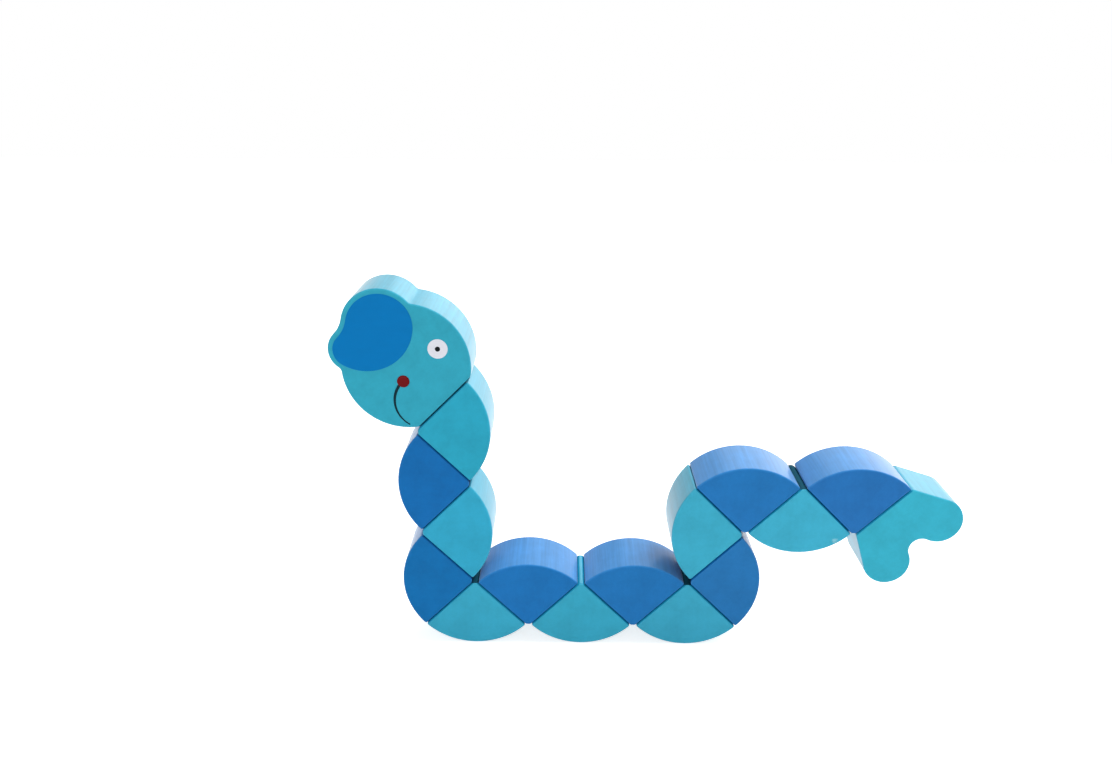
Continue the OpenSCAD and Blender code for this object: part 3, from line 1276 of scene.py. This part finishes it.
@dataclass(frozen=True)
class Lamp:
    """A soft square light, with its place and its side in metres and its power in watts."""

    name: str
    place: Triple
    side: float
    power: float

    def hang(self, aim: Triple) -> None:
        """Hangs the light.

        Args:
            aim: The point that it faces, in metres.
        """
        data = bpy.data.lights.new(self.name, "AREA")
        data.size, data.energy = self.side, self.power
        lamp = bpy.data.objects.new(self.name, data)
        place = Vector(self.place)
        turn = (Vector(aim) - place).to_track_quat("-Z", "Y")
        lamp.matrix_world = Matrix.Translation(place) @ turn.to_matrix().to_4x4()
        bpy.context.scene.collection.objects.link(lamp)


@dataclass
class Studio:
    """Camera, soft lights, white floor and white surroundings.

    The camera's place is in millimetres, its focal length in pixels of the photograph and its
    turn a rotation vector in degrees. The floor's side and the lamps' aim are in metres.
    """

    image_w: int = 1112
    sensor: float = 36.0
    focal: float = 960.1
    place: Triple = (-29.25, -291.58, 191.99)
    turn: Triple = (19.649, 0.469, 0.367)
    clip: Flat = (0.01, 20.0)
    floor_side: float = 3.0
    floor_glow: float = 0.66
    floor_colour: Colour = (0.8, 0.8, 0.8, 1.0)
    white: Colour = (1.0, 1.0, 1.0, 1.0)
    fill: float = 0.38
    aim: Triple = (0.0, 0.0, 0.06)
    lamps: tuple[Lamp, ...] = (
        Lamp("window", (0.55, 1.1, 0.7), 1.5, 11.0),
        Lamp("ceiling", (0.6, 0.2, 1.1), 0.8, 11.5),
        Lamp("front", (-0.3, -1.2, 0.5), 0.9, 7.6),
    )

    def camera(self) -> None:
        """Makes the camera."""
        # Unturned, it looks along Y with Z up
        vector = Vector([math.radians(a) for a in self.turn])
        rows = Matrix.Rotation(vector.length, 3, vector.normalized()) @ Matrix(
            ((1, 0, 0), (0, 0, -1), (0, 1, 0)))
        axes = Matrix((rows[0], -rows[1], -rows[2])).transposed().to_4x4()
        data = bpy.data.cameras.new("camera")
        data.sensor_width, data.lens = self.sensor, self.focal * self.sensor / self.image_w
        data.clip_start, data.clip_end = self.clip
        camera = bpy.data.objects.new("camera", data)
        camera.matrix_world = Matrix.Translation(Vector(self.place) * MM) @ axes
        bpy.context.scene.collection.objects.link(camera)
        bpy.context.scene.camera = camera

    def floor(self) -> None:
        """Lays the white floor, which keeps the toy's shadow and ends where it is still white."""
        deselect()
        bpy.ops.mesh.primitive_plane_add(size=self.floor_side, location=(0, 0, 0))
        floor = bpy.context.object
        floor.name = "floor"
        material, tree = new_material("white_floor")
        own = node(tree, "Math", {0: seen(tree), 1: self.floor_glow}, operation="MULTIPLY")
        glow = node(tree, "Emission", {"Color": self.white, "Strength": own})
        matt = node(tree, "BsdfDiffuse", {"Color": self.floor_colour})
        node(tree, "OutputMaterial", {"Surface": node(tree, "AddShader", {0: glow, 1: matt})})
        floor.data.materials.append(material)

    def surroundings(self) -> None:
        """Makes the world: white where it is seen, a plain pale light elsewhere."""
        world = bpy.data.worlds.new("studio")
        bpy.context.scene.world = world
        world.use_nodes = True
        tree = world.node_tree
        tree.nodes.clear()
        light = node(tree, "Background", {"Color": self.white, "Strength": self.fill})
        backdrop = node(tree, "Background", {"Color": self.white, "Strength": 1.0})
        mix = node(tree, "MixShader", {0: seen(tree), 1: light, 2: backdrop})
        node(tree, "OutputWorld", {"Surface": mix})

    def build(self) -> None:
        """Sets up the whole studio."""
        self.camera()
        self.floor()
        self.surroundings()
        for lamp in self.lamps:
            lamp.hang(self.aim)
        bpy.context.scene.view_settings.view_transform = "Standard"


def main() -> None:
    """Builds the studio and the worm."""
    logging.basicConfig(level=logging.INFO, format="%(name)s %(message)s")
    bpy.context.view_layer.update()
    Studio().build()
    chain = Chain()
    head = Head(chain)
    for assembly in (Blocks(chain), head, Face(head), Tail(chain), Stringing()):
        assembly.build()
        LOG.info("%s built", type(assembly).__name__)
    deselect()


if __name__ == "__main__":
    main()
